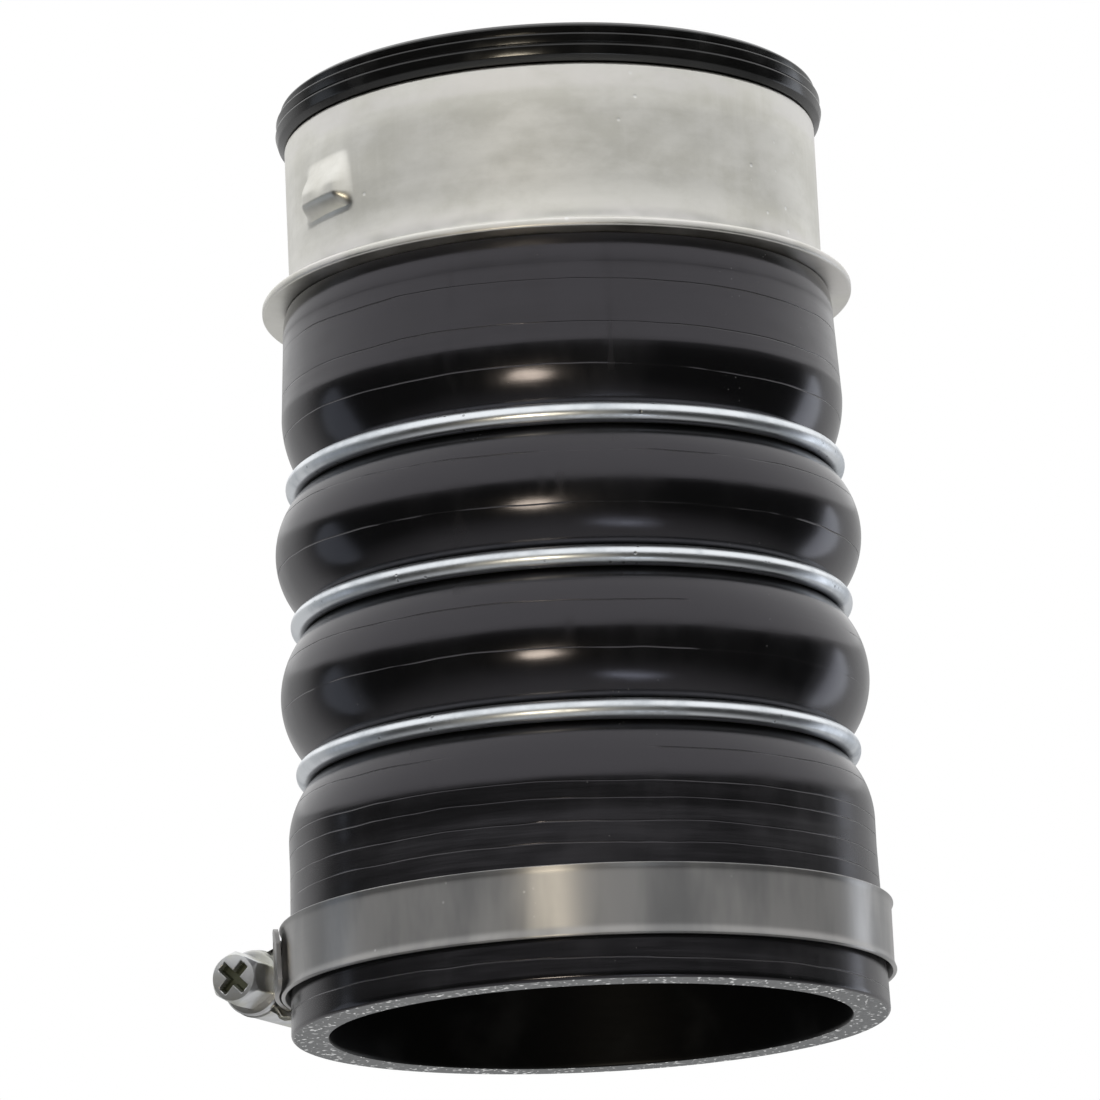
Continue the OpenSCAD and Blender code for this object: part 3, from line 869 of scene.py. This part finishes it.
def make_screw():
    """One row of rings from the thread's end, over the washer face and the hexagon, into the recess."""
    count = 192
    angles = np.arange(count) / count * 2 * math.pi
    rows = []
    core_r, thread_r = 3.1, 4.2
    bottom, top = -HOUSING_H / 2 + 0.5, HEAD_Z
    for z in np.linspace(bottom, top, 150):
        ends = float(ease((z - bottom) / 1.2)) * float(ease((top - 0.8 - z) / 1.2))
        phase = (z / SCREW_PITCH - angles / (2 * math.pi)) % 1
        ridge = ease((0.5 - np.abs(phase - 0.5)) * 2 / 0.5 - 0.9)
        rows.append((core_r + (thread_r - core_r) * ridge * ends, np.full(count, z)))
    for r, lift in ((4.5, 0), (4.8, 0.25), (4.8, WASHER_H - 0.35), (4.55, WASHER_H - 0.05), (4.2, WASHER_H)):
        rows.append((np.full(count, r), np.full(count, HEAD_Z + lift)))
    base = HEAD_Z + WASHER_H
    hexagon = np.array([hexagon_radius(a, HEX_W) for a in angles])
    face_r = HEX_W / 2 - 0.15
    chamfer = 0.68
    for lift in (0, 0.15, 1.5, 3, 4, 4.3, 4.6, 4.8, 5, 5.15, 5.3, 5.42, HEAD_H - 0.1, HEAD_H):
        cone = face_r + (HEAD_H - lift) * chamfer
        rows.append((np.minimum(hexagon, cone), np.full(count, base + lift)))
    for r in np.linspace(face_r - 0.08, 0.05, 44):
        dome = 0.12 * (1 - (r / face_r) ** 2)
        depth = np.array([recess_depth(r * math.cos(a), r * math.sin(a)) for a in angles])
        rows.append((np.full(count, r), base + HEAD_H + dome - depth))
    rings = [np.stack([r * np.cos(angles), r * np.sin(angles), z], axis=1) for r, z in rows]
    points, faces = skin([at_screw(ring) for ring in rings], False)
    piece = add_object("worm_screw_turned", points, faces, [ZINC, RECESS_SHADE], 30)
    # Faces deep in the cross recess get the painted shade material
    deep_low, deep_high, deep_r = base + 3, base + HEAD_H - 0.8, 2.8
    for polygon in piece.data.polygons:
        offset = polygon.center / MM - SCREW_POS
        if deep_low < offset.dot(SCREW_HEAD) < deep_high and offset.cross(SCREW_HEAD).length < deep_r:
            polygon.material_index = 1
    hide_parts("worm_screw")
    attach(piece, "worm_screw")


make_hose()
make_rings()
make_collar()
make_sleeve()
make_seal()
make_band()
make_tail()
make_saddle()
make_housing()
make_screw()

# ---------------------------------------------------------------- studio


def make_floor():
    """Pale floor, low enough to leave the view from below clear."""
    bpy.ops.mesh.primitive_circle_add(vertices=96, radius=9, fill_type="NGON", location=(0, 0, -1.25))
    floor = bpy.context.object
    floor.name = "floor"
    material = bpy.data.materials.new("floor")
    material.use_nodes = True
    shader = material.node_tree.nodes["Principled BSDF"]
    shader.inputs["Base Color"].default_value = grey(0.9)
    shader.inputs["Roughness"].default_value = 0.9
    floor.data.materials.append(material)
    floor.visible_glossy = False


def make_world():
    """Room that is bright above and behind the part and dim on the viewer's side; the camera sees white."""
    world = bpy.data.worlds.new("studio")
    bpy.context.scene.world = world
    world.use_nodes = True
    tree = world.node_tree
    nodes, links = tree.nodes, tree.links
    room_low, room_high = math.sin(math.radians(13.5)), math.sin(math.radians(17))
    place = nodes.new("ShaderNodeTexCoord")
    parts = nodes.new("ShaderNodeSeparateXYZ")
    links.new(place.outputs["Generated"], parts.inputs[0])

    def smooth(value, low, high, start, end):
        made = nodes.new("ShaderNodeMapRange")
        made.interpolation_type = "SMOOTHSTEP"
        links.new(value, made.inputs["Value"])
        for key, number in (("From Min", low), ("From Max", high), ("To Min", start), ("To Max", end)):
            made.inputs[key].default_value = number
        return made.outputs[0]

    def combine(operation, a, b):
        made = nodes.new("ShaderNodeMath")
        made.operation = operation
        links.new(a, made.inputs[0])
        links.new(b, made.inputs[1])
        return made.outputs[0]

    above = smooth(parts.outputs[2], room_low, room_high, 0.0, 1.05)
    below = smooth(parts.outputs[2], -0.95, -0.35, 0.5, 0.02)
    behind = smooth(parts.outputs[1], 0.3, 0.75, 0.0, 0.6)
    shown = combine("MAXIMUM", combine("MAXIMUM", above, below), behind)
    room = nodes.new("ShaderNodeBackground")
    links.new(shown, room.inputs["Color"])
    white = nodes.new("ShaderNodeBackground")
    white.inputs["Color"].default_value = (1, 1, 1, 1)
    path = nodes.new("ShaderNodeLightPath")
    choose = nodes.new("ShaderNodeMixShader")
    links.new(path.outputs["Is Camera Ray"], choose.inputs[0])
    links.new(room.outputs[0], choose.inputs[1])
    links.new(white.outputs[0], choose.inputs[2])
    links.new(choose.outputs[0], nodes["World Output"].inputs["Surface"])


LIGHT_CENTRE = Vector((0, 0, 0.065))


def area_light(name, azimuth, elevation, distance, size, power, colour):
    """Soft oval light that faces the part from an azimuth and elevation in degrees; sizes in metres."""
    data = bpy.data.lights.new(name, "AREA")
    data.shape = "ELLIPSE"
    data.size, data.size_y = size
    data.energy = power
    data.color = colour
    light = bpy.data.objects.new(name, data)
    bpy.context.scene.collection.objects.link(light)
    towards = direction(azimuth, elevation)
    light.location = LIGHT_CENTRE + towards * distance
    light.rotation_mode = "QUATERNION"
    light.rotation_quaternion = towards.to_track_quat("Z", "Y")
    light.visible_camera = False


make_floor()
make_world()
area_light("lamp", 13, -17, 2.4, (0.62, 0.36), 10, (1.0, 0.88, 0.68))
area_light("low_panel", -27, -45, 2.4, (0.9, 0.24), 1.8, (0.8, 0.88, 1.0))
area_light("left_panel", 106, -10, 2.2, (0.7, 1.6), 1.5, (0.8, 0.88, 1.0))
area_light("right_panel", -124, -8, 2.2, (0.6, 1.6), 3, (0.84, 0.9, 1.0))


def corners(box):
    """The box's two corners as plain lists."""
    return [list(corner) for corner in box]
